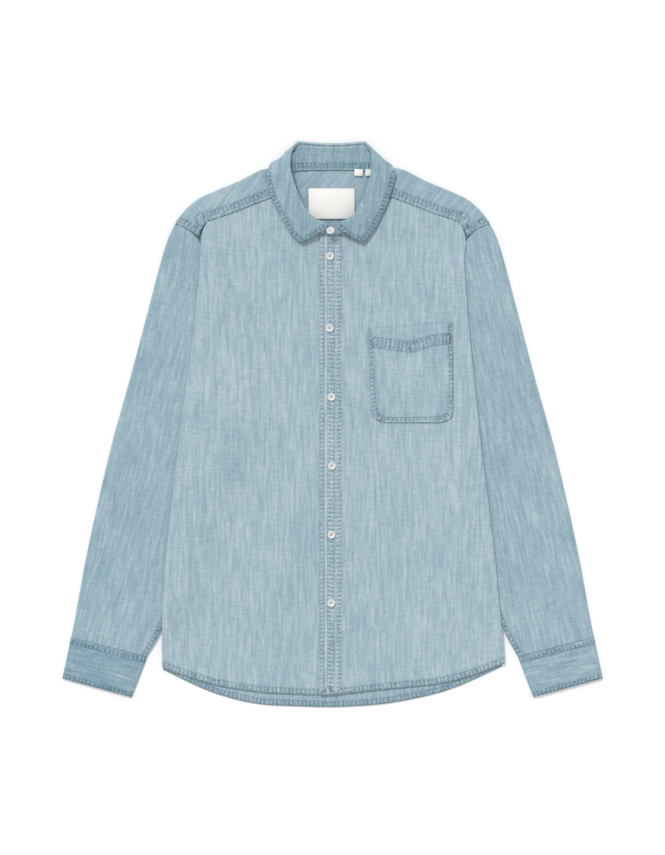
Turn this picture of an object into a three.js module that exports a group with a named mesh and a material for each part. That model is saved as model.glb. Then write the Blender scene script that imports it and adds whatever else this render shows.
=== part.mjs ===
// A chambray shirt laid out flat on a surface, front up, buttoned, sleeves down at its sides.
// Millimetres; +X to the left side of a wearer, +Y to the collar, +Z up off the surface.
// Each cut piece is a closed cloth wall. The origin is under the middle of the laid-out shirt.
import * as THREE from 'three';
import { mergeVertices } from 'three/addons/utils/BufferGeometryUtils.js';

// ---- driving sizes ----
const wall = 1.0;            // cloth, with its seam allowances
const seamGap = 0.3;         // between two pieces that are sewn together
const layerGap = 0.5;        // between two layers that only lie on each other
const sleeveHollow = 0.9;    // inside a flattened sleeve
const backYokeSeamY = 235;   // across the back, under the fronts
const placketEdgeX = -17.5;  // free edge of the lapping front
const placketWidth = 31;
const underlapX = 11;        // edge of the front underneath
const frontNeckY = 266;
const neckHalfWidth = 74;    // where the neckline meets the forward shoulder seam
const armscyeRise = 60;      // how far the armhole curves up from its straight line
const buttonRadius = 5.5;
const buttonThickness = 2.2;
const buttonHoleOffset = 1.35;
const pocketCorner = 16;
const rightCollarShare = 0.94; // that side of the collar sits a little further in

const chambray = [0.40, 0.52, 0.60];
const chambrayShade = [0.31, 0.42, 0.51];
const chambrayPale = [0.46, 0.58, 0.65];
const labelCloth = [0.80, 0.79, 0.76];
const shell = [0.83, 0.84, 0.82];

// ---- outlines, a row for each place where the line bends ----
// half width of the body, from the hem corner up to the yoke
const sideEdge = [
  { y: -338, left: 238.0, right: 241.0 }, { y: -302, left: 238.5, right: 239.0 },
  { y: -261, left: 239.0, right: 234.5 }, { y: -181, left: 233.0, right: 228.0 },
  { y: -74, left: 221.0, right: 214.0 }, { y: 28, left: 208.0, right: 202.0 },
  { y: 137, left: 194.0, right: 191.0 }, { y: 231, left: 184.0, right: 183.5 },
  { y: 261, left: 185.0, right: 187.5 }, { y: 290, left: 182.0, right: 189.0 },
];
// half width of the back where its armhole runs out to the shoulder
const backEdge = [
  { y: -338, out: 237 }, { y: -181, out: 229 }, { y: 28, out: 203 }, { y: 137, out: 190 },
  { y: 231, out: 182 }, { y: 262, out: 200 }, { y: 284, out: 219 },
];
const frontHem = [
  { x: -241, y: -338 }, { x: -214, y: -349 }, { x: -161, y: -365 }, { x: -101, y: -374.5 },
  { x: -20, y: -378 }, { x: 12, y: -376 }, { x: 150, y: -362.5 }, { x: 196, y: -351 }, { x: 244, y: -332 },
];
const backHem = [
  { x: -241, y: -340 }, { x: -214, y: -354 }, { x: -159, y: -379 }, { x: -101, y: -391.5 },
  { x: 0, y: -395 }, { x: 71, y: -391 }, { x: 156, y: -374.5 }, { x: 211, y: -350 }, { x: 244, y: -334 },
];
const neckline = [
  { x: 0, y: frontNeckY }, { x: 25, y: 270 }, { x: 45, y: 280 }, { x: 60, y: 296 },
  { x: neckHalfWidth, y: 323 },
];
// forward shoulder seam, the corner under the front, then the armhole out to the shoulder
const forwardSeam = [
  { x: neckHalfWidth, y: 323.5 }, { x: 89, y: 319 }, { x: 126, y: 304.5 }, { x: 156, y: 293 },
  { x: 181, y: 287 }, { x: 186, y: 264 }, { x: 195, y: 272 }, { x: 205, y: 279 }, { x: 219, y: 285 },
];
const shoulderLine = [
  { x: 0, y: 356.6 },
  { x: 62, y: 356.6 },
  { x: 76, y: 352 },
  { x: 96, y: 352 },
  { x: 132, y: 341 },
  { x: 166, y: 327 },
  { x: 185.5, y: 318 },
  { x: 197, y: 310 }, { x: 208, y: 299 }, { x: 215, y: 289.5 }, { x: 219, y: 284 },
];
// the sleeve from its armhole to the cuff: folded edge outside, underarm seam inside
const sleeveRows = [
  { outX: 220, outY: 279.5, inX: 122, inY: 58, rise: 1 },
  { outX: 229, outY: 262, inX: 124, inY: 48, rise: 0.9 },
  { outX: 240, outY: 230, inX: 130, inY: 28, rise: 0.7 },
  { outX: 262, outY: 146, inX: 142, inY: -20, rise: 0.42 },
  { outX: 284, outY: 62, inX: 157, inY: -75, rise: 0.2 },
  { outX: 308, outY: -22, inX: 174, inY: -130, rise: 0.08 },
  { outX: 328, outY: -106, inX: 193, inY: -185, rise: 0.03 },
  { outX: 346, outY: -190, inX: 218, inY: -243, rise: 0 },
  { outX: 361, outY: -274, inX: 246, inY: -301, rise: 0 },
  { outX: 366, outY: -298, inX: 259.8, inY: -324.8, rise: 0 },
];
const cuffRows = [
  { outX: 366.4, outY: -298.6, inX: 260, inY: -325.6, rise: 0 },
  { outX: 372, outY: -326, inX: 270.5, inY: -353, rise: 0 },
  { outX: 378, outY: -354, inX: 281, inY: -380.5, rise: 0 },
];
// the collar from its front end round to the middle of the back. It rises from the neck seam
// to its fold, turns over at the bend, and ends at its edge.
const collarRows = [
  { seam: [0, 266.5, 6.8], fold: [5, 282, 15], bend: [6, 280, 16.6], edge: [8, 275, 14.2] },
  { seam: [16, 267.5, 6.2], fold: [17.5, 286, 15.5], bend: [22, 280, 16], edge: [25, 265.5, 11.4] },
  { seam: [32, 272, 5.8], fold: [29, 292, 15], bend: [34, 283, 15.2], edge: [45, 254.5, 8.6] },
  { seam: [45, 280.5, 5.8], fold: [39, 304, 16], bend: [47, 295, 16], edge: [61, 270, 8.2] },
  { seam: [58, 294, 5.8], fold: [48, 322, 17], bend: [59, 315, 17], edge: [77, 299, 8.2] },
  { seam: [68, 312, 5.8], fold: [55, 344, 18], bend: [69, 338, 17.6], edge: [88, 324, 8.2] },
  { seam: [75, 331, 5.6], fold: [59.5, 362, 17], bend: [78, 362, 14], edge: [93.5, 350, 8.4] },
  { seam: [71, 346, 4.9], fold: [58.5, 375, 14], bend: [84, 367, 5], edge: [88, 358, 1.0] },
  { seam: [62, 353, 3.8], fold: [56, 386, 9], bend: [71, 379.5, 3], edge: [72, 345, 0.5] },
  { seam: [48, 356, 3.2], fold: [48, 394.5, 5.4], bend: [50, 396.4, 3.2], edge: [52, 343, 0.5] },
  { seam: [26, 357, 3.0], fold: [26, 392.5, 5.2], bend: [26, 394.8, 2.6], edge: [28, 342, 0.5] },
  { seam: [0, 357, 3.0], fold: [0, 391.5, 5.0], bend: [0, 394.2, 2.4], edge: [0, 342, 0.5] },
];
const pocketOutline = { top: 134.5, topRise: 9.5, bottom: 4, left: 49, leftLow: 55, right: 168, rightLow: 169.5 };
const buttons = [
  { name: 'button_1', x: -3, y: 271.5 }, { name: 'button_2', x: -3.4, y: 236.7 },
  { name: 'button_3', x: -4, y: 136 }, { name: 'button_4', x: -1.5, y: 39.6 },
  { name: 'button_5', x: -0.7, y: -56.7 }, { name: 'button_6', x: -1.4, y: -153 },
  { name: 'button_7', x: -1.8, y: -248.5 },
];

// ---- small tools ----
const lerp = THREE.MathUtils.lerp;
const ease = (from, to, value) => {
  const share = THREE.MathUtils.clamp((value - from) / (to - from), 0, 1);
  return share * share * (3 - 2 * share);
};
const steps = (count) => Array.from({ length: count + 1 }, (_, i) => i / count);

// the value of one column of a table where another column reaches a given place
function read(table, key, at, column) {
  const last = table.length - 1;
  const rising = table[last][key] > table[0][key];
  let i = 0;
  while (i < last - 1 && (rising ? table[i + 1][key] < at : table[i + 1][key] > at)) i += 1;
  const share = (at - table[i][key]) / (table[i + 1][key] - table[i][key]);
  return lerp(table[i][column], table[i + 1][column], THREE.MathUtils.clamp(share, 0, 1));
}

// One closed solid between two grids of points that face each other. A ring's last column
// runs on into its first.
function solidBetween(over, under, ring = false) {
  const rows = over.length;
  const cols = over[0].length;
  const points = [...over.flat(), ...under.flat()].flatMap((p) => [p.x, p.y, p.z]);
  const top = (i, j) => i * cols + (j % cols);
  const low = (i, j) => rows * cols + top(i, j);
  const faces = [];
  const quad = (a, b, c, d) => faces.push(a, b, c, a, c, d);
  const spans = ring ? cols : cols - 1;
  for (let i = 0; i < rows - 1; i += 1) {
    for (let j = 0; j < spans; j += 1) {
      quad(top(i, j), top(i + 1, j), top(i + 1, j + 1), top(i, j + 1));
      quad(low(i, j), low(i, j + 1), low(i + 1, j + 1), low(i + 1, j));
    }
  }
  for (let j = 0; j < spans; j += 1) {
    quad(top(0, j), top(0, j + 1), low(0, j + 1), low(0, j));
    quad(top(rows - 1, j + 1), top(rows - 1, j), low(rows - 1, j), low(rows - 1, j + 1));
  }
  if (!ring) {
    for (let i = 0; i < rows - 1; i += 1) {
      quad(top(i + 1, 0), top(i, 0), low(i, 0), low(i + 1, 0));
      quad(top(i, cols - 1), top(i + 1, cols - 1), low(i + 1, cols - 1), low(i, cols - 1));
    }
  }
  const geometry = new THREE.BufferGeometry();
  geometry.setAttribute('position', new THREE.Float32BufferAttribute(points, 3));
  geometry.setIndex(faces);
  return facingOut(mergeVertices(geometry, 1e-3));
}

// turns a closed mesh's faces outwards, and drops faces that have no area
function facingOut(geometry) {
  const at = geometry.getAttribute('position');
  const index = Array.from(geometry.index.array);
  const corner = (i) => new THREE.Vector3().fromBufferAttribute(at, i);
  const kept = [];
  let volume = 0;
  for (let i = 0; i < index.length; i += 3) {
    const [a, b, c] = index.slice(i, i + 3);
    if (a === b || b === c || c === a) continue;
    kept.push([a, b, c]);
    volume += corner(a).dot(corner(b).cross(corner(c)));
  }
  geometry.setIndex(kept.flatMap(([a, b, c]) => (volume > 0 ? [a, b, c] : [a, c, b])));
  geometry.computeVertexNormals();
  return geometry;
}

// the same grid moved along its own normals
function movedOut(grid, distance) {
  const near = (i, j) => grid[THREE.MathUtils.clamp(i, 0, grid.length - 1)][
    THREE.MathUtils.clamp(j, 0, grid[0].length - 1)];
  return grid.map((row, i) => row.map((p, j) => {
    const along = near(i + 1, j).clone().sub(near(i - 1, j));
    const across = near(i, j + 1).clone().sub(near(i, j - 1));
    const normal = along.cross(across).normalize();
    return p.clone().addScaledVector(normal, distance);
  }));
}

// a wall whose underside is a height field over its plan
function laid(grid, under) {
  const low = grid.map((row) => row.map((p) => new THREE.Vector3(p.x, p.y, under(p.x, p.y))));
  const high = low.map((row) => row.map((p) => new THREE.Vector3(p.x, p.y, p.z + wall)));
  return solidBetween(high, low);
}

// ---- how high the layers lie ----
const side = (x, y) => read(sideEdge, 'y', y, x < 0 ? 'left' : 'right');
const backUnder = () => 0;
// the inside edge of the sleeve that is tucked between back and front
const tuckedEdge = [
  { y: -325, in: 262 }, { y: -301, in: 246 }, { y: -243, in: 218 }, { y: -185, in: 193 },
  { y: -130, in: 174 }, { y: -75, in: 157 }, { y: -20, in: 142 }, { y: 60, in: 120 },
  { y: 140, in: 138 }, { y: 206, in: 158 }, { y: 262, in: 184 }, { y: 300, in: 230 },
];
const sleeveUnder = (x, y) => (wall + layerGap + 0.1)
  * Math.max(ease(26, 8, Math.abs(x) - read(backEdge, 'y', y, 'out')), ease(190, 225, y));
const sleeveTop = (x, y) => sleeveUnder(x, y) + 2 * wall + sleeveHollow;
const overSleeve = 2 * wall + sleeveHollow + 2 * layerGap;
function frontUnder(x, y) {
  const onSleeve = ease(-38, -2, Math.abs(x) - read(tuckedEdge, 'y', y, 'in'));
  const atShoulder = ease(225, 290, y) * ease(20, 70, Math.abs(x));
  return wall + layerGap + overSleeve * Math.max(onSleeve, 0.62 * atShoulder);
}
const lapUnder = (x, y) => frontUnder(x, y) + (wall + layerGap) * ease(34, 14, x);
const placketUnder = (x, y) => lapUnder(x, y) + wall + seamGap;
const yokeLift = (x, y) => (wall + 2.2 * layerGap) * ease(295, 328, y) * ease(130, 105, Math.abs(x));

// ---- pieces ----
const group = new THREE.Group();
function add(name, geometry, colour) {
  const material = new THREE.MeshStandardMaterial({
    color: new THREE.Color(...colour), roughness: 0.95, metalness: 0,
  });
  const mesh = new THREE.Mesh(geometry, material);
  mesh.name = name;
  group.add(mesh);
}

// a panel in plan between its two sides, its top and its hem
function panel(across, down, left, right, top, hem) {
  return down.map((v) => across.map((u) => {
    let x = lerp(left(0), right(0), u);
    let y = 0;
    for (let pass = 0; pass < 4; pass += 1) {
      y = lerp(top(x), hem(x), v);
      x = lerp(left(y), right(y), u);
    }
    return new THREE.Vector3(x, lerp(top(x), hem(x), v), 0);
  }));
}
const panelRows = [0, 0.03, 0.07, 0.12, 0.18, 0.25, 0.33, 0.41, 0.5, 0.59, 0.68, 0.77, 0.85, 0.91, 0.96, 1];

function back() {
  const grid = panel(
    steps(14), panelRows,
    (y) => -read(backEdge, 'y', y, 'out'), (y) => read(backEdge, 'y', y, 'out'),
    () => backYokeSeamY - seamGap, (x) => read(backHem, 'x', x, 'y'),
  );
  add('back', laid(grid, backUnder), chambrayShade);
}

// the top of a front: its neckline, then the forward shoulder seam
function frontTop(x) {
  const out = Math.abs(x);
  const seam = out < neckHalfWidth ? read(neckline, 'x', out, 'y') : read(forwardSeam, 'x', out, 'y');
  return seam - seamGap - 2.4 * ease(140, 170, out);
}
const frontShares = [0, 0.06, 0.14, 0.24, 0.34, 0.42, 0.5, 0.57, 0.64, 0.71, 0.78, 0.86, 0.94, 1];

function fronts() {
  const hem = (x) => read(frontHem, 'x', x, 'y');
  const under = panel(frontShares, panelRows, () => underlapX, (y) => -side(-1, y), frontTop, hem);
  add('front_right', laid(under, frontUnder), chambray);
  const lap = panel(frontShares, panelRows, () => placketEdgeX, (y) => side(1, y), frontTop, hem);
  add('front_left', laid(lap, lapUnder), chambray);
  const band = panel(
    [0, 0.2, 0.8, 1], panelRows, () => placketEdgeX, () => placketEdgeX + placketWidth - 1.5, frontTop, hem,
  );
  add('placket', laid(band, placketUnder), chambrayPale);
}

// The yoke lies on the back, folds over at the shoulders and comes down to the forward seams.
// Between them it ends at the back of the neck.
function yoke() {
  const reach = (out) => ease(neckHalfWidth - 6, neckHalfWidth + 2, out);
  const columns = [219, 214, 208, 201, 194, 188, 182, 170, 150, 126, 104, 92, 84, 78, 74, 70, 62, 40, 0];
  const across = [...columns.map((x) => -x), ...columns.slice(0, -1).reverse()];
  const grid = across.map((x) => {
    const out = Math.abs(x);
    const crest = read(shoulderLine, 'x', out, 'y');
    const frontEnd = Math.min(read(forwardSeam, 'x', out, 'y'), crest - 0.5);
    const edgeOfFront = out > 183;
    const armholeY = Math.max(backYokeSeamY, read(backEdge, 'out', out, 'y'));
    const start = edgeOfFront ? armholeY : backYokeSeamY;
    const share = reach(out);
    const low = wall / 2 + yokeLift(x, crest);
    const seamTop = edgeOfFront ? sleeveTop(x, frontEnd) : frontUnder(x, frontEnd) + wall;
    const high = seamTop - wall / 2;
    const bow = (high - low) / 2;
    const points = [];
    for (const t of steps(5)) {
      const y = lerp(Math.min(start, crest - 3), crest - bow, t);
      points.push(new THREE.Vector3(x, y, wall / 2 + yokeLift(x, y)));
    }
    for (const t of [0.25, 0.5, 0.75, 1]) {
      const turn = Math.PI * t * share;
      points.push(new THREE.Vector3(x, crest - bow + bow * Math.sin(turn), low + bow * (1 - Math.cos(turn))));
    }
    for (const t of [0.33, 0.67, 1]) {
      const y = lerp(crest - bow, frontEnd, t);
      const flat = lerp(high, edgeOfFront ? high : frontUnder(x, y) + wall / 2, t);
      const turned = new THREE.Vector3(x, y, flat);
      const ending = points[8].clone().add(new THREE.Vector3(0, 0.6 * t, 0));
      points.push(ending.lerp(turned, share));
    }
    return points;
  });
  add('yoke', solidBetween(movedOut(grid, wall / 2), movedOut(grid, -wall / 2)), chambrayShade);
}

// A flattened tube through rows that run from its outer edge to its inner edge
function flatTube(rows, sign, under, thickness, hollow, shares) {
  const ringOf = (row, inset) => {
    const outer = new THREE.Vector2(row.outX, row.outY);
    const inner = new THREE.Vector2(row.inX, row.inY);
    const width = outer.distanceTo(inner);
    const at = (s, level) => {
      const t = lerp(inset / width, 1 - inset / width, s);
      const p = outer.clone().lerp(inner, t);
      const y = p.y + armscyeRise * row.rise * Math.sin(Math.PI * t);
      const base = under(sign * p.x, y);
      return new THREE.Vector3(sign * p.x, y, base + level);
    };
    const full = 2 * thickness + hollow;
    const upper = shares.slice(1, -1);
    return [
      at(0, full / 2), ...upper.map((s) => at(s, full - inset)), at(1, full / 2),
      ...[...upper].reverse().map((s) => at(s, inset)),
    ];
  };
  return solidBetween(rows.map((row) => ringOf(row, 0)), rows.map((row) => ringOf(row, thickness)), true);
}

// the rows of a table with others worked out between them
function between(table, parts) {
  return table.flatMap((row, i) => {
    const next = table[i + 1];
    if (!next) return [row];
    return steps(parts).slice(0, -1).map((t) => Object.fromEntries(
      Object.keys(row).map((key) => [key, lerp(row[key], next[key], t)]),
    ));
  });
}

function sleevesAndCuffs() {
  const shares = [0, 0.015, 0.1, 0.2, 0.3, 0.42, 0.55, 0.7, 0.85, 0.985, 1];
  const cuffShares = [0, 0.02, 0.25, 0.5, 0.75, 0.98, 1];
  for (const [name, sign] of [['right', -1], ['left', 1]]) {
    const rows = between(sleeveRows, 2);
    add(`sleeve_${name}`, flatTube(rows, sign, sleeveUnder, wall, sleeveHollow, shares), chambray);
    const cuff = flatTube(cuffRows, sign, () => 0, 1.3 * wall, sleeveHollow, cuffShares);
    add(`cuff_${name}`, cuff, chambrayShade);
  }
}

// The collar's rows for the whole neck, from one front end to the other
function collarStations(parts) {
  const keys = ['seam', 'fold', 'bend', 'edge'];
  const half = keys.map((key) => new THREE.CatmullRomCurve3(
    collarRows.map((row) => new THREE.Vector3(...row[key])), false, 'centripetal',
  ));
  const last = collarRows.length - 1;
  const turns = steps(last * parts);
  const station = (t, sign) => Object.fromEntries(keys.map((key, i) => {
    const p = half[i].getPoint(t);
    p.x *= sign * (sign > 0 ? rightCollarShare : 1);
    return [key, p];
  }));
  return [
    ...turns.map((t) => station(t, -1)),
    ...turns.slice(0, -1).reverse().map((t) => station(t, 1)),
  ];
}

function collar() {
  const stations = collarStations(1);
  const leaf = stations.map(({ fold, bend, edge }) => {
    const round = new THREE.QuadraticBezierCurve3(
      fold, bend.clone().multiplyScalar(1.5).addScaledVector(fold, -0.25).addScaledVector(edge, -0.25), edge,
    );
    return [0, 0.12, 0.3, 0.5, 0.75, 1].map((t) => round.getPoint(t));
  });
  add('collar_leaf', solidBetween(movedOut(leaf, wall / 2), movedOut(leaf, -wall / 2)), chambray);
  const stand = stations.map(({ seam, fold }, i) => {
    const atFront = Math.min(i, stations.length - 1 - i);
    const overlap = atFront === 0 ? (i === 0 ? 9 : -9) : 0;
    const lift = i > collarRows.length && atFront < 2 ? wall + layerGap : 0;
    return [0, 0.33, 0.67, 1].map((t) => {
      const p = seam.clone().lerp(fold, (atFront < 2 ? 0.62 : 0.8) * t);
      return p.add(new THREE.Vector3(overlap, 0, lift + 0.4 + (1 - t) * 0.4));
    });
  });
  add('collar_stand', solidBetween(movedOut(stand, wall / 2), movedOut(stand, -wall / 2)), chambrayShade);
}

// the pocket follows the front that it is sewn to
function pocket() {
  const edge = pocketOutline;
  const grid = [0, 0.08, 0.2, 0.4, 0.6, 0.8, 0.88, 0.93, 0.97, 1].map((v) => steps(6).map((u) => {
    const top = edge.top + edge.topRise * u;
    const y = lerp(top, edge.bottom, v);
    const low = Math.max(0, pocketCorner - (y - edge.bottom));
    const inset = pocketCorner - Math.sqrt(pocketCorner ** 2 - low ** 2);
    const x = lerp(lerp(edge.left, edge.leftLow, v) + inset, lerp(edge.right, edge.rightLow, v) - inset, u);
    return new THREE.Vector3(x, y, 0);
  }));
  add('pocket', laid(grid, (x, y) => lapUnder(x, y) + wall + seamGap + layerGap), chambray);
}

// sewn to the inside of the yoke, below the back of the neck
function labelAndTabs() {
  const pieces = [
    { name: 'label', x: -1.3, y: 310.2, width: 64.5, height: 42.5, turn: 0 },
    { name: 'size_tab_1', x: 36.6, y: 353.5, width: 12, height: 9, turn: -0.05 },
    { name: 'size_tab_2', x: 50, y: 353.5, width: 8, height: 9, turn: 0 },
  ];
  for (const { name, x, y, width, height, turn } of pieces) {
    const geometry = new THREE.BoxGeometry(width, height, 0.8);
    geometry.rotateZ(turn);
    const seat = name === 'label' ? 2 * wall + 2.4 * layerGap : 5.3;
    geometry.translate(x, y, seat + seamGap + 0.4);
    add(name, facingOut(mergeVertices(geometry.deleteAttribute('normal').deleteAttribute('uv'), 1e-3)), labelCloth);
  }
}

// a four-hole button with a raised rim
function buttonRow() {
  for (const { name, x, y } of buttons) {
    const face = new THREE.Shape().absarc(0, 0, buttonRadius, 0, 2 * Math.PI);
    for (const turn of [0.25, 0.75, 1.25, 1.75]) {
      const hole = new THREE.Path().absarc(
        buttonHoleOffset * Math.SQRT2 * Math.cos(turn * Math.PI),
        buttonHoleOffset * Math.SQRT2 * Math.sin(turn * Math.PI), 0.6, 0, 2 * Math.PI, true,
      );
      face.holes.push(hole);
    }
    const disc = new THREE.ExtrudeGeometry(face, { depth: buttonThickness, bevelEnabled: false, curveSegments: 5 });
    const onCollar = name === 'button_1';
    if (onCollar) disc.rotateX(-0.5);
    const seat = onCollar ? 17 : placketUnder(x, y) + wall + seamGap;
    disc.translate(x, y, seat);
    add(name, facingOut(mergeVertices(disc.deleteAttribute('normal').deleteAttribute('uv'), 1e-3)), shell);
  }
}

back();
yoke();
fronts();
sleevesAndCuffs();
collar();
pocket();
labelAndTabs();
buttonRow();

// the origin is under the middle of everything laid out
const box = new THREE.Box3().setFromObject(group);
const middle = box.getCenter(new THREE.Vector3());
for (const mesh of group.children) mesh.geometry.translate(-middle.x, -middle.y, -box.min.z);

export default group;
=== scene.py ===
# A light blue chambray shirt laid flat, front up. Metres, with the frame's origin under its middle.
# Each cut piece is the frame's own solid made fine, with its seams, puckers and creases worked in.
import math

import bmesh
import bpy
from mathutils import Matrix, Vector


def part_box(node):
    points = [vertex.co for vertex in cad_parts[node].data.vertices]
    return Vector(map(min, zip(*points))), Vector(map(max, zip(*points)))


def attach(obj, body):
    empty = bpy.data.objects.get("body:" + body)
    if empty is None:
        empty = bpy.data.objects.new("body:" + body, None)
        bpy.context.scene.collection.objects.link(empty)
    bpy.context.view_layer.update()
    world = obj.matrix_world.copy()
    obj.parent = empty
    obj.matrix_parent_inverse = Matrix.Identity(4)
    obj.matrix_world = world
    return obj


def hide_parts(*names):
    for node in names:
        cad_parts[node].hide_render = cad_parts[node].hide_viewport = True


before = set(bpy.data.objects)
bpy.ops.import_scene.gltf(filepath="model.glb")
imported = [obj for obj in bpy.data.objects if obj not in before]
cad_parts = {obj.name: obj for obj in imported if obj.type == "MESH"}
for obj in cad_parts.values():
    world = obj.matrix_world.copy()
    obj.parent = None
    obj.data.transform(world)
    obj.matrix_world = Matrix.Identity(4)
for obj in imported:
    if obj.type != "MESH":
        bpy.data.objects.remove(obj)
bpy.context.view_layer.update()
scene = bpy.context.scene
MM = 0.001


# ---- camera, floor and light ----
# A long lens straight above, as the shirt lies. The floor is plain white and keeps the shadow;
# its glow is seen by the camera alone, so it adds no light to the cloth.
def overhead_camera():
    height = 6.0
    ground_in_view = 1.197
    sensor = 24
    lens = bpy.data.cameras.new("camera")
    lens.sensor_fit = "VERTICAL"
    lens.sensor_height = sensor
    lens.lens = sensor * height / ground_in_view
    lens.clip_end = 100
    camera = bpy.data.objects.new("camera", lens)
    camera.location = (0, -4.2 * MM, height)
    scene.collection.objects.link(camera)
    scene.camera = camera


def white_floor():
    bpy.ops.mesh.primitive_plane_add(size=8, location=(0, 0, -0.4 * MM))
    floor = bpy.context.object
    floor.name = "floor"
    white = bpy.data.materials.new("floor_white")
    white.use_nodes = True
    tree = white.node_tree
    shader = tree.nodes["Principled BSDF"]
    shader.inputs["Base Color"].default_value = (0.86, 0.86, 0.86, 1)
    shader.inputs["Roughness"].default_value = 1
    path = tree.nodes.new("ShaderNodeLightPath")
    glow = tree.nodes.new("ShaderNodeEmission")
    glow.inputs["Strength"].default_value = 0.17
    dark = tree.nodes.new("ShaderNodeEmission")
    dark.inputs["Strength"].default_value = 0
    choice = tree.nodes.new("ShaderNodeMixShader")
    both = tree.nodes.new("ShaderNodeAddShader")
    tree.links.new(path.outputs["Is Camera Ray"], choice.inputs[0])
    tree.links.new(dark.outputs[0], choice.inputs[1])
    tree.links.new(glow.outputs[0], choice.inputs[2])
    tree.links.new(shader.outputs[0], both.inputs[0])
    tree.links.new(choice.outputs[0], both.inputs[1])
    tree.links.new(both.outputs[0], tree.nodes["Material Output"].inputs["Surface"])
    floor.data.materials.append(white)


def even_light():
    world = bpy.data.worlds.new("studio")
    world.use_nodes = True
    sky = world.node_tree.nodes["Background"]
    sky.inputs["Color"].default_value = (1, 1, 1, 1)
    sky.inputs["Strength"].default_value = 0.62
    scene.world = world
    sun = bpy.data.lights.new("key", "SUN")
    sun.energy = 1.55
    sun.angle = math.radians(14)
    key = bpy.data.objects.new("key", sun)
    key.rotation_euler = (math.radians(-38), math.radians(-24), 0)
    scene.collection.objects.link(key)
    scene.view_settings.view_transform = "Standard"


overhead_camera()
white_floor()
even_light()


# ---- shader maths ----
# A socket that adds, multiplies and joins nodes, so that a material reads as a formula. Colours
# are given as they look on a screen, out of 255, and turned into the linear ones that sockets take.
class Value:
    def __init__(self, tree, socket):
        self.tree = tree
        self.socket = socket

    def node(self, kind, inputs, output=0, **settings):
        made = self.tree.nodes.new(kind)
        for key, setting in settings.items():
            setattr(made, key, setting)
        for key, value in inputs.items():
            if isinstance(value, Value):
                self.tree.links.new(value.socket, made.inputs[key])
            else:
                made.inputs[key].default_value = value
        return Value(self.tree, made.outputs[output])

    def math(self, operation, other=0.0):
        return self.node("ShaderNodeMath", {0: self, 1: other}, operation=operation)

    def __add__(self, other):
        return self.math("ADD", other)

    def __sub__(self, other):
        return self.math("SUBTRACT", other)

    def __mul__(self, other):
        return self.math("MULTIPLY", other)

    def spread(self, low, high, to_low=0.0, to_high=1.0):
        """low to high made into to_low to to_high, and held at the ends"""
        return self.node("ShaderNodeMapRange", {0: self, 1: low, 2: high, 3: to_low, 4: to_high})

    def band(self, low, high, soft):
        """1 between low and high, falling to 0 over soft on both sides"""
        return self.spread(low - soft, low) * self.spread(high, high + soft, 1.0, 0.0)

    def wave(self, pitch):
        return (self * (2 * math.pi / pitch)).math("SINE")

    def painted(self, low, high, middle=None):
        """a colour ramp from low at 0 to high at 1"""
        ramp = self.node("ShaderNodeValToRGB", {0: self})
        stops = ramp.socket.node.color_ramp.elements
        stops[0].color = low
        stops[1].color = high
        if middle:
            stops.new(0.5).color = middle
        return ramp

    def into(self, shader, name):
        self.tree.links.new(self.socket, shader.inputs[name])


def socket_colour(red, green, blue):
    def linear(value):
        value /= 255
        return value / 12.92 if value <= 0.04045 else ((value + 0.055) / 1.055) ** 2.4
    return (linear(red), linear(green), linear(blue), 1)


def started(name):
    """a new material, its shader, and the place on the piece that its patterns run over"""
    material = bpy.data.materials.new(name)
    material.use_nodes = True
    tree = material.node_tree
    where = Value(tree, tree.nodes.new("ShaderNodeTexCoord").outputs["Object"])
    return material, tree.nodes["Principled BSDF"], where


# ---- chambray ----
# White weft over a blue warp: long warp streaks along the grain, finer pale threads across it.
# "seam" is a point's distance from its nearest seam, "along" the run of that seam up to there,
# "band" the width of its stitched band, which is roped and darker, with painted shade in the
# groove at its far stitching, and paler on its edge, partly from wear and partly a painted
# highlight on the rolled fold.
PUCKER_PITCH = 0.0058
STITCH_PITCH = 0.0026


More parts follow.
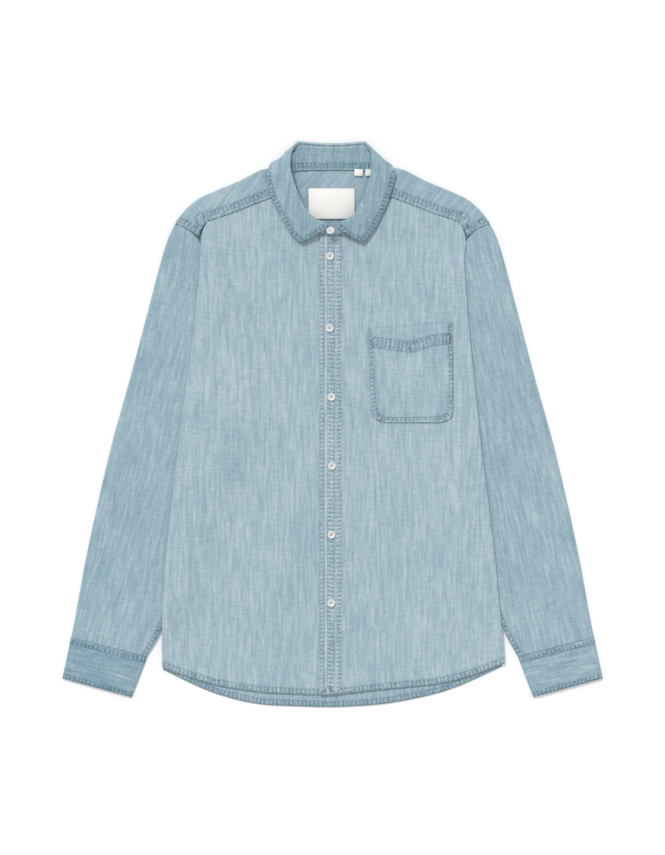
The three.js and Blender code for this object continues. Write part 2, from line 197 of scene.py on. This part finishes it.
def chambray(name, turn=0.0, colour=(165, 189, 200), contrast=1.0):
    material, shader, where = started(name)
    grain = where.node("ShaderNodeMapping", {0: where, "Rotation": (0, 0, math.radians(turn))})

    def threads(across, along, detail, seed):
        stretched = where.node(
            "ShaderNodeMapping", {0: grain, "Scale": (across, along, 60), "Location": (seed, 0, 0)},
        )
        return where.node(
            "ShaderNodeTexNoise",
            {"Vector": stretched, "Scale": 1.0, "Detail": detail, "Roughness": 0.6},
        )

    def noise(scale, detail):
        return where.node("ShaderNodeTexNoise", {"Vector": where, "Scale": scale, "Detail": detail})

    def mark(label):
        return where.node("ShaderNodeAttribute", {}, output="Fac", attribute_name=label)

    warp = threads(260, 24, 3.0, 3.1)
    fine_warp = threads(900, 90, 1.0, 7.7)
    weft = threads(60, 620, 2.0, 1.3)
    fine_weft = threads(210, 1300, 1.0, 5.9)
    cloud = noise(9.0, 3.0)
    slub = threads(330, 45, 2.0, 9.4).spread(0.63, 0.74)

    seam = mark("seam")
    along = mark("along")
    share = seam.math("DIVIDE", mark("band"))
    wander = noise(210.0, 2.0)
    in_band = share.band(-0.05, 1.0, 0.12)
    rope = (along + seam * 0.12 + wander * 0.008).wave(PUCKER_PITCH)
    rope = rope * share.band(0.2, 0.84, 0.14) * wander.spread(0.3, 0.62, 0.35, 1.3)
    stitch_line = share.band(0.07, 0.13, 0.07) + share.band(0.9, 0.98, 0.08)
    stitches = stitch_line * along.wave(STITCH_PITCH).spread(-0.5, 0.3)
    # Painted shade in the groove along the band's far stitching.
    groove_shade = share.band(0.86, 0.98, 0.1)
    # The seam's edge is painted paler: partly wear, partly a painted highlight on the rolled fold.
    edge = share.band(-0.3, 0.05, 0.06)
    outside = share.band(1.02, 1.28, 0.3)

    weave = (warp.spread(0.3, 0.7, -0.16, 0.16) + fine_warp.spread(0.3, 0.7, -0.07, 0.07)
             + weft.spread(0.3, 0.7, -0.08, 0.08) + fine_weft.spread(0.3, 0.7, -0.06, 0.06)
             + cloud.spread(0.3, 0.7, -0.045, 0.045)) * contrast
    # The "tone" mark brings each piece's own tone together with the creases' painted shading.
    depth = (weave - slub * 0.07 + 0.02
             + rope * 0.2 - in_band * 0.13 - groove_shade * 0.12 + stitches * 0.15
             + edge * 0.26 - outside * 0.03 + mark("tone"))
    base = socket_colour(*colour)
    deep = [part * kept for part, kept in zip(base[:3], (0.42, 0.56, 0.64))] + [1]
    pale = [part + (1 - part) * 0.52 for part in base[:3]] + [1]
    depth.spread(-0.5, 0.5).painted(deep, pale, middle=base).into(shader, "Base Color")

    height = (warp * 0.16 + weft * 0.14 + fine_warp * 0.1 + fine_weft * 0.1
              + rope * 0.75 + stitches * 0.35 - stitch_line * 0.5 + edge * 0.3)
    bump = where.node("ShaderNodeBump", {"Height": height, "Strength": 0.8, "Distance": 0.0009})
    bump.into(shader, "Normal")
    shader.inputs["Roughness"].default_value = 0.92
    shader.inputs["Sheen Weight"].default_value = 0.12
    shader.inputs["Sheen Roughness"].default_value = 0.5
    shader.inputs["Specular IOR Level"].default_value = 0.2
    return material


body_cloth = chambray("chambray_body")
left_sleeve_cloth = chambray("chambray_left_sleeve", turn=-13, colour=(159, 185, 197))
right_sleeve_cloth = chambray("chambray_right_sleeve", turn=13, colour=(157, 184, 196))
yoke_cloth = chambray("chambray_yoke", turn=38, colour=(160, 185, 197))
small_cloth = chambray("chambray_collar", turn=4, colour=(155, 182, 194), contrast=1.1)
cuff_left_cloth = chambray("chambray_cuff_left", turn=77, colour=(154, 181, 194), contrast=1.2)
cuff_right_cloth = chambray("chambray_cuff_right", turn=-77, colour=(150, 178, 191), contrast=1.2)


# ---- making a cut piece fine ----
# The solid's flat corners and rims stay, its faces round off, and its triangles pair up first.
SAME_POINT = 0.01 * MM
FLAT_PAIR = math.radians(35)
SQUARE_PAIR = math.radians(60)
KEPT_CORNER = math.radians(48)


def applied(piece, modifier):
    bpy.context.view_layer.objects.active = piece
    bpy.ops.object.modifier_apply(modifier=modifier.name)


def fine_copy(node, levels, material, name=None):
    piece = bpy.data.objects.new(name or node + "_cloth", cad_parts[node].data.copy())
    scene.collection.objects.link(piece)
    piece.data.materials.clear()
    piece.data.materials.append(material)
    work = bmesh.new()
    work.from_mesh(piece.data)
    bmesh.ops.remove_doubles(work, verts=work.verts, dist=SAME_POINT)
    bmesh.ops.join_triangles(
        work, faces=work.faces, angle_face_threshold=FLAT_PAIR, angle_shape_threshold=SQUARE_PAIR,
    )
    crease = work.edges.layers.float.new("crease_edge")
    for edge in work.edges:
        if len(edge.link_faces) == 2 and edge.calc_face_angle(0) > KEPT_CORNER:
            edge[crease] = 1.0
    work.to_mesh(piece.data)
    work.free()
    rounder = piece.modifiers.new("fine", "SUBSURF")
    rounder.levels = levels
    rounder.render_levels = levels
    applied(piece, rounder)
    piece.data.polygons.foreach_set("use_smooth", [True] * len(piece.data.polygons))
    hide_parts(node)
    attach(piece, "root")
    return piece


# ---- seams and soft creases ----
# Seam lines are points in millimetres in plan, each with its stitched band's width. The nearest
# line sets a point's seam, along and band. A crease is a long soft swell in the cloth: its middle,
# direction in degrees, half length, half width, rise, and its painted shading, how much paler or
# darker it is painted to stand in for light on its rise or shade in its hollow; those with no rise
# are painted lines of light or shade alone.
LOWEST = 0.02 * MM


def rise(value, low, high):
    """0 up to low, 1 from high on"""
    return max(0.0, min(1.0, (value - low) / (high - low)))


def hill(away, width):
    return math.exp(-(away / width) ** 2)


def mirrored(line):
    return [(-x, y) for x, y in line]


def nearest_seam(x, y, seams):
    best = (1000.0, 0.0, 8.0)
    for line, width in seams:
        run = 0.0
        for (ax, ay), (bx, by) in zip(line[:-1], line[1:]):
            dx, dy = bx - ax, by - ay
            length = math.hypot(dx, dy)
            t = max(0.0, min(1.0, ((x - ax) * dx + (y - ay) * dy) / length ** 2))
            away = math.hypot(x - ax - t * dx, y - ay - t * dy)
            if away < best[0]:
                best = (away, run + t * length, width)
            run += length
    return best


def mark_seams(piece, seams, tone=0.0, creases=()):
    marks = {"seam": [], "along": [], "band": [], "tone": []}
    for vertex in piece.data.vertices:
        x, y = vertex.co.x / MM, vertex.co.y / MM
        for label, value in zip(("seam", "along", "band"), nearest_seam(x, y, seams)):
            marks[label].append(value * MM)
        tone_and_painted_shading = tone
        # Each crease's painted shading: paler on a swell, darker in a hollow; some are painted lines
        # alone.
        for mid_x, mid_y, angle, length, width, lift, painted_shading in creases:
            c, s = math.cos(math.radians(angle)), math.sin(math.radians(angle))
            u = ((x - mid_x) * c + (y - mid_y) * s) / length
            v = (-(x - mid_x) * s + (y - mid_y) * c) / width
            swell = math.exp(-u * u * 2.2 - v * v * 1.6)
            vertex.co.z += lift * MM * swell
            tone_and_painted_shading += painted_shading * swell
        vertex.co.z = max(vertex.co.z, LOWEST)
        marks["tone"].append(tone_and_painted_shading)
    for label, values in marks.items():
        layer = piece.data.attributes.new(label, "FLOAT", "POINT")
        layer.data.foreach_set("value", values)


# ---- back and yoke ----
# The back shows only as its curved tail below the fronts; the yoke inside the neck and over
# the shoulders, with its forward seams and the armhole bands stitched to it. Its front edge laps
# a little way over the fronts, and it stands up beside the neck.
back_hem = [(-241, -340), (-214, -354), (-159, -379), (-101, -391.5), (0, -396), (71, -391.5),
            (156, -374.5), (211, -350), (244, -334)]
forward_seam = [(70, 325), (89, 319), (126, 304.5), (156, 293), (182, 287)]
armhole = [(184, 262), (195, 269), (206, 277), (221, 284)]
neck_seam = [(-70, 359), (70, 359)]

back = fine_copy("back", 3, small_cloth)
mark_seams(back, [(back_hem, 8)])

yoke = fine_copy("yoke", 2, yoke_cloth)
for vertex in yoke.data.vertices:
    x, y = abs(vertex.co.x) / MM, vertex.co.y / MM
    if vertex.co.z > 3.2 * MM and x > 66:
        shoulder_fold = 352 - 0.32 * max(0, x - 96)
        lap = rise(shoulder_fold - 8 - y, 0, 18)
        vertex.co.y -= 2.4 * MM * lap
        vertex.co.z += 0.7 * MM * lap
    vertex.co.y += 7.4 * MM * hill(x - 90, 30) * rise(y, 326, 348)
mark_seams(
    yoke, [(forward_seam, 10), (mirrored(forward_seam), 10), (armhole, 9), (mirrored(armhole), 9),
           (neck_seam, 4)], tone=-0.04,
)

# ---- fronts and placket ----
# Both fronts are plain cloth with a narrow rolled hem. A soft crease runs above each hem, paler
# with a painted highlight, and long shallow folds fall from the chest, painted lighter on their rises
# and darker in their hollows as painted light and shade; they differ a little from side to side.
# The placket's inner edge sinks into the front that it is sewn to, and its stitch lines are dark
# lines of painted shade.
front_hem = [(-241, -338), (-214, -349), (-161, -365), (-101, -374.5), (-20, -378.5), (12, -376.5),
             (150, -362.5), (196, -351), (244, -332)]
# The last figure of each crease is painted shading: paler where the cloth rises, darker where it sinks.
right_creases = [
    (-196, -344, -17, 62, 6, 0.5, 0.05), (-120, 60, 84, 150, 26, 0.5, 0.012),
    (-70, -140, 96, 130, 22, 0.45, 0.01), (-168, -150, 98, 120, 18, -0.5, -0.012),
    (-60, 210, 60, 60, 14, 0.4, 0.01), (-110, 250, 20, 70, 16, -0.4, -0.01),
]
left_creases = [
    (196, -337, 13, 62, 6, 0.5, 0.05), (60, -70, 88, 150, 24, 0.5, 0.01),
    (132, -160, 82, 140, 22, -0.5, -0.012), (176, 20, 93, 120, 16, 0.4, 0.01),
    (90, 230, -45, 60, 14, 0.4, 0.01), (110, -40, 5, 70, 12, -0.35, -0.01),
]
# Two lines of painted shade with no rise down the placket's stitch lines: a deep one in the groove by its
# inner edge, a lighter one by its outer edge.
placket_shade_lines = [(3.5, -57, 90, 900, 1.5, 0.0, -0.36), (-11.5, -57, 90, 900, 0.9, 0.0, -0.16)]
outer_band = [(-18, 264), (-18, -378)]
inner_band = [(4.5, 264), (4.5, -378)]


def square_corner(front):
    for vertex in front.data.vertices:
        near = hill(abs(vertex.co.x) / MM - 184, 15) * rise(vertex.co.y / MM, 255, 283)
        vertex.co.y += 4.2 * MM * near
        vertex.co.z += 0.5 * MM * near


front_right = fine_copy("front_right", 3, body_cloth)
square_corner(front_right)
mark_seams(front_right, [(front_hem, 8)], creases=right_creases)

front_left = fine_copy("front_left", 3, body_cloth)
square_corner(front_left)
mark_seams(front_left, [(front_hem, 8)], creases=left_creases)

placket = fine_copy("placket", 3, body_cloth)
for vertex in placket.data.vertices:
    vertex.co.z -= 1.15 * MM * rise(vertex.co.x / MM, 5, 12)
mark_seams(
    placket, [(outer_band, 6.5), (inner_band, 14), (front_hem, 8)], tone=0.11, creases=placket_shade_lines,
)

# ---- pocket ----
# A patch pocket with rounded lower corners and a turned top, stitched in a shallow V.
pocket_edge = [(49, 134), (52, 60), (55.5, 22), (60, 11), (71, 4), (108, 3.5), (153, 5), (164, 11),
               (169, 22), (169.5, 60), (168, 143)]
turned_top = [(58, 115), (84, 111.5), (109, 108), (139, 117), (162, 120)]
# The first entry is a dark line of painted shade under the pocket's turned top; the second a soft swell
# made paler with a painted highlight.
pocket_creases = [(108, 138.4, 4.6, 78, 1.3, 0.0, -0.16), (85, 60, 20, 50, 16, 0.3, 0.012)]

pocket = fine_copy("pocket", 3, body_cloth)
mark_seams(pocket, [(pocket_edge, 6.5), (turned_top, 8)], tone=-0.03, creases=pocket_creases)

# ---- sleeves and cuffs ----
# Each sleeve is one flattened tube, eased up into the armhole; long soft folds run down it, with
# painted highlight on their rises and painted shade in their hollows. The cuffs are doubled bands
# with a wide stitched seam, lapping over the sleeve, and a roped edge.
# Each fold is paler with a painted highlight where it rises and darker with painted shade where it sinks.
sleeve_folds = [(272, 60, -72, 150, 10, -0.4, -0.012), (300, -90, -72, 130, 9, 0.4, 0.01),
                (296, -240, -70, 110, 9, -0.4, -0.015), (330, -230, -77, 100, 8, 0.35, 0.01)]
underarm_seam = [(193, -185), (218, -243), (245, -301), (259, -324)]
cuff_top = [(366.4, -298.5), (260, -325.5)]
cuff_low = [(378, -354), (281, -380.5)]
CUFF_SLOPE = 0.254

for side, sign, sleeve_cloth, cuff_cloth, cuff_tone in (
    ("right", -1, right_sleeve_cloth, cuff_right_cloth, -0.12),
    ("left", 1, left_sleeve_cloth, cuff_left_cloth, -0.03),
):
    def this_side(line):
        return [(sign * x, y) for x, y in line]

    sleeve = fine_copy(f"sleeve_{side}", 2, sleeve_cloth)
    for vertex in sleeve.data.vertices:
        vertex.co.y += 2.6 * MM * rise(vertex.co.y / MM, 225, 260)
    folds = [(sign * x, y, sign * angle, *rest) for x, y, angle, *rest in sleeve_folds]
    mark_seams(sleeve, [(this_side(underarm_seam), 8)], tone=-0.045, creases=folds)

    cuff = fine_copy(f"cuff_{side}", 3, cuff_cloth)
    for vertex in cuff.data.vertices:
        seam_y = -298.6 - (366.4 - abs(vertex.co.x) / MM) * CUFF_SLOPE
        reach = rise(8 - (seam_y - vertex.co.y / MM), 0, 8)
        vertex.co.y += 1.1 * MM * reach
        vertex.co.z += 0.35 * MM * reach
    mark_seams(cuff, [(this_side(cuff_top), 9), (this_side(cuff_low), 6)], tone=cuff_tone)

# ---- collar ----
# The stand rises from the neck seam and leans inwards; the leaf turns over it, swelling a little
# where it turns, and lies on the fronts, edge-stitched 6.5 mm in.
left_edge = [(-6, 277), (-22, 264), (-42, 254), (-47, 255), (-60, 270), (-77, 300), (-88, 324), (-93, 348)]
right_edge = [(-x * 0.94, y) for x, y in left_edge]
stand_seam = [(-70, 357), (70, 357)]

leaf = fine_copy("collar_leaf", 3, small_cloth)
for vertex in leaf.data.vertices:
    x, y = vertex.co.x / MM, vertex.co.y / MM
    turn_over = hill(abs(x) - 86, 14) * hill(y - 366, 14)
    vertex.co.x += math.copysign(1.8 * MM * turn_over, x)
    vertex.co.y += 1.8 * MM * turn_over
# The leaf's strip above the neck is painted paler: painted light over the shade where the turned cloth
# slopes away.
mark_seams(
    leaf, [(left_edge, 6.5), (right_edge, 6.5)], tone=-0.07, creases=[(0, 391, 0, 62, 7, 0.0, 0.26)],
)

stand = fine_copy("collar_stand", 3, small_cloth)
# A sunken line along the stand, under the leaf's turn, darkened with painted shade.
mark_seams(stand, [(stand_seam, 9)], tone=-0.07, creases=[(0, 381.5, 0, 70, 1.1, -0.3, -0.14)])


# ---- label and size tabs ----
# Bare off-white woven tape with softened edges.
def woven_tape():
    material, shader, where = started("label_tape")
    rib = where.node(
        "ShaderNodeTexWave", {"Vector": where, "Scale": 300.0, "Distortion": 0.4}, bands_direction="Y",
    )
    fleck = where.node("ShaderNodeTexNoise", {"Vector": where, "Scale": 900.0, "Detail": 2.0})
    weave = rib * 0.5 + fleck * 0.5
    weave.painted(socket_colour(249, 247, 242), socket_colour(254, 252, 248)).into(shader, "Base Color")
    bump = where.node("ShaderNodeBump", {"Height": weave, "Strength": 0.2, "Distance": 0.0002})
    bump.into(shader, "Normal")
    shader.inputs["Roughness"].default_value = 0.8
    return material


tape = woven_tape()
for node in ("label", "size_tab_1", "size_tab_2"):
    ribbon = fine_copy(node, 1, tape, name=node + "_tape")
    bevel = ribbon.modifiers.new("soft_edge", "BEVEL")
    bevel.width = 0.25 * MM
    bevel.segments = 2
    applied(ribbon, bevel)


# ---- buttons ----
# Turned off-white buttons: a raised rim, a dished middle, four holes, a cross of thread over them
# and, under all but the collar's, the bar of the buttonhole. Profile in mm from the underside.
def button_shell():
    material, shader, where = started("button_shell")
    cloud = where.node(
        "ShaderNodeTexNoise", {"Vector": where, "Scale": 260.0, "Detail": 2.0, "Distortion": 1.0},
    )
    cloud.painted(socket_colour(222, 224, 221), socket_colour(243, 243, 240)).into(shader, "Base Color")
    shader.inputs["Roughness"].default_value = 0.28
    shader.inputs["Coat Weight"].default_value = 0.3
    return material


def button_thread():
    material, shader, where = started("button_thread")
    ply = where.node("ShaderNodeTexNoise", {"Vector": where, "Scale": 2500.0})
    ply.painted(socket_colour(150, 172, 184), socket_colour(196, 210, 216)).into(shader, "Base Color")
    shader.inputs["Roughness"].default_value = 0.9
    return material


BUTTONS = 7
AROUND = 40
HALF_THICK = 1.1
HOLE_RADIUS = 0.62
COLLAR_TILT = -0.5
button_profile = [(0.0, 1.25), (2.9, 1.25), (3.5, 1.5), (4.0, 2.05), (4.6, 2.2), (5.2, 2.0),
                  (5.5, 1.4), (5.45, 0.7), (4.9, 0.15), (3.0, 0.0), (0.0, 0.0)]
hole_places = [(1.25, 1.25), (-1.25, 1.25), (-1.25, -1.25), (1.25, -1.25)]


def turned_disc(work):
    rows = []
    for radius, height in button_profile:
        angles = [step * 2 * math.pi / AROUND for step in range(AROUND)] if radius else [0.0]
        rows.append([
            work.verts.new((radius * MM * math.cos(a), radius * MM * math.sin(a), height * MM))
            for a in angles
        ])
    for inner, outer in zip(rows[:-1], rows[1:]):
        for i in range(AROUND):
            j = (i + 1) % AROUND
            if len(inner) == 1:
                work.faces.new((inner[0], outer[i], outer[j]))
            elif len(outer) == 1:
                work.faces.new((inner[i], outer[0], inner[j]))
            else:
                work.faces.new((inner[i], outer[i], outer[j], inner[j]))
    bmesh.ops.recalc_face_normals(work, faces=work.faces)
    bmesh.ops.translate(work, verts=work.verts, vec=(0, 0, -HALF_THICK * MM))


def four_holes(work):
    radius = HOLE_RADIUS * MM
    for x, y in hole_places:
        made = bmesh.ops.create_cone(
            work, cap_ends=True, segments=16, radius1=radius, radius2=radius, depth=8 * MM,
        )
        bmesh.ops.translate(work, verts=made["verts"], vec=(x * MM, y * MM, 0))


def thread_bar(work, size, height, turn=0):
    """a bar of thread, its middle at height, turned about the button's axis"""
    c, s = math.cos(math.radians(turn)), math.sin(math.radians(turn))
    for vertex in bmesh.ops.create_cube(work, size=1)["verts"]:
        x, y, z = (part * side * MM for part, side in zip(vertex.co, size))
        vertex.co = (x * c - y * s, x * s + y * c, z + height * MM)


def placed(name, work, tilt, centre):
    """the work as an object of its own, leaning by tilt, with its middle at centre"""
    for vertex in work.verts:
        y, z = vertex.co.y, vertex.co.z
        vertex.co.y = y * math.cos(tilt) - z * math.sin(tilt)
        vertex.co.z = y * math.sin(tilt) + z * math.cos(tilt)
        vertex.co += centre
    mesh = bpy.data.meshes.new(name)
    work.to_mesh(mesh)
    work.free()
    made = bpy.data.objects.new(name, mesh)
    scene.collection.objects.link(made)
    return made


shell = button_shell()
thread = button_thread()
for number in range(1, BUTTONS + 1):
    node = f"button_{number}"
    on_collar = number == 1
    low, high = (Vector(corner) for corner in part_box(node))
    centre = (low + high) / 2
    tilt = COLLAR_TILT if on_collar else 0.0

    disc = bmesh.new()
    turned_disc(disc)
    button = placed(node + "_turned", disc, tilt, centre)
    button.data.polygons.foreach_set("use_smooth", [True] * len(button.data.polygons))
    button.data.materials.append(shell)

    drills = bmesh.new()
    four_holes(drills)
    cutter = placed("holes", drills, tilt, centre)
    cut = button.modifiers.new("holes", "BOOLEAN")
    cut.object = cutter
    cut.operation = "DIFFERENCE"
    applied(button, cut)
    bpy.data.objects.remove(cutter)

    threads = bmesh.new()
    for turn in (45, -45):
        thread_bar(threads, (3.6, 0.55, 0.35), 0.4, turn)
    if not on_collar:
        thread_bar(threads, (2.0, 14.5, 0.5), -1.3)
    cross = placed(node + "_thread", threads, tilt, centre)
    cross.data.materials.append(thread)

    for piece in (button, cross):
        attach(piece, "root")
    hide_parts(node)
